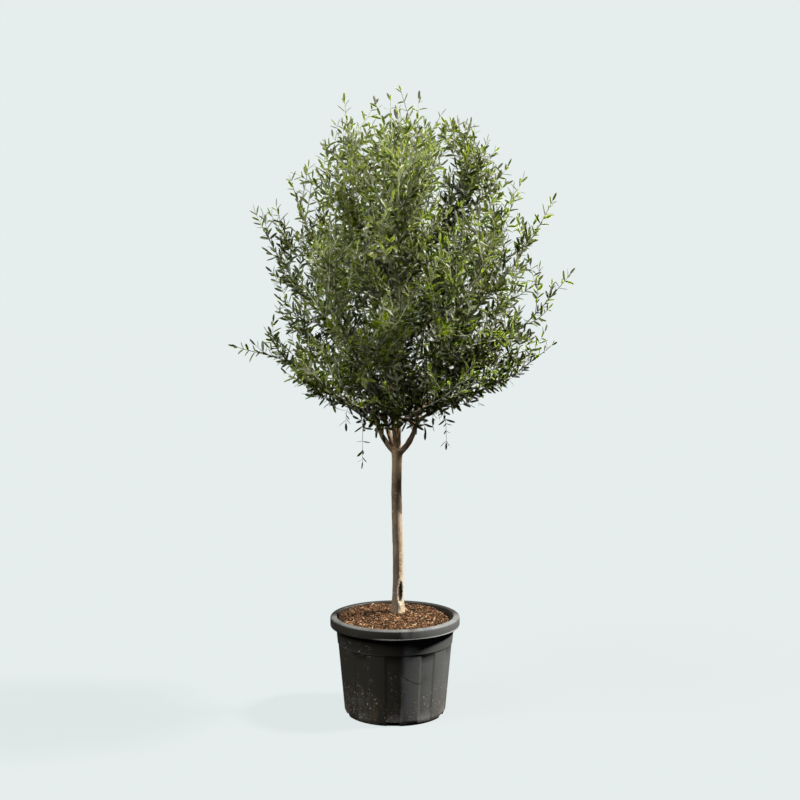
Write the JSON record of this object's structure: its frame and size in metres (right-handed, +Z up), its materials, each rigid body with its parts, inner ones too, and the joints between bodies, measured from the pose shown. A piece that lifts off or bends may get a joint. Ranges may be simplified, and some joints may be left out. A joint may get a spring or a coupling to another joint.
{
  "type": "potted olive tree",
  "caption": "Half-standard olive tree in a round panelled nursery pot: bare stem, forked boughs and an egg-shaped crown of slender leaves.",
  "frame": {"origin": "middle of the flat underside of the pot, on the surface that it stands on", "axes": "+Z up along the stem, +X to the right and +Y to the back, seen from the front"},
  "size_m": [1.33, 1.1636, 2.3976],
  "materials": {
    "pot_plastic": "satin",
    "compost": "matte",
    "bark": "matte",
    "foliage": "matte"
  },
  "bodies": {
    "root": {"bough_high_back": "bark", "bough_high_front": "bark", "bough_high_left": "bark", "bough_high_right": "bark", "bough_low_back_left": "bark", "bough_low_back_right": "bark", "bough_low_front_left": "bark", "bough_low_front_right": "bark", "bough_low_left": "bark", "bough_low_right": "bark", "bough_mid_back_left": "bark", "bough_mid_back_right": "bark", "bough_mid_front_left": "bark", "bough_mid_front_right": "bark", "bough_mid_left": "bark", "bough_mid_right": "bark", "bough_top_back": "bark", "bough_top_front": "bark", "bough_top_left": "bark", "bough_top_right": "bark", "foliage_high_back": "foliage", "foliage_high_front": "foliage", "foliage_high_left": "foliage", "foliage_high_right": "foliage", "foliage_low_back_left": "foliage", "foliage_low_back_right": "foliage", "foliage_low_front_left": "foliage", "foliage_low_front_right": "foliage", "foliage_low_left": "foliage", "foliage_low_right": "foliage", "foliage_mid_back_left": "foliage", "foliage_mid_back_right": "foliage", "foliage_mid_front_left": "foliage", "foliage_mid_front_right": "foliage", "foliage_mid_left": "foliage", "foliage_mid_right": "foliage", "foliage_top_back": "foliage", "foliage_top_front": "foliage", "foliage_top_left": "foliage", "foliage_top_right": "foliage", "pot": "pot_plastic", "soil": "compost", "trunk": "bark"}
  },
  "joints": []
}
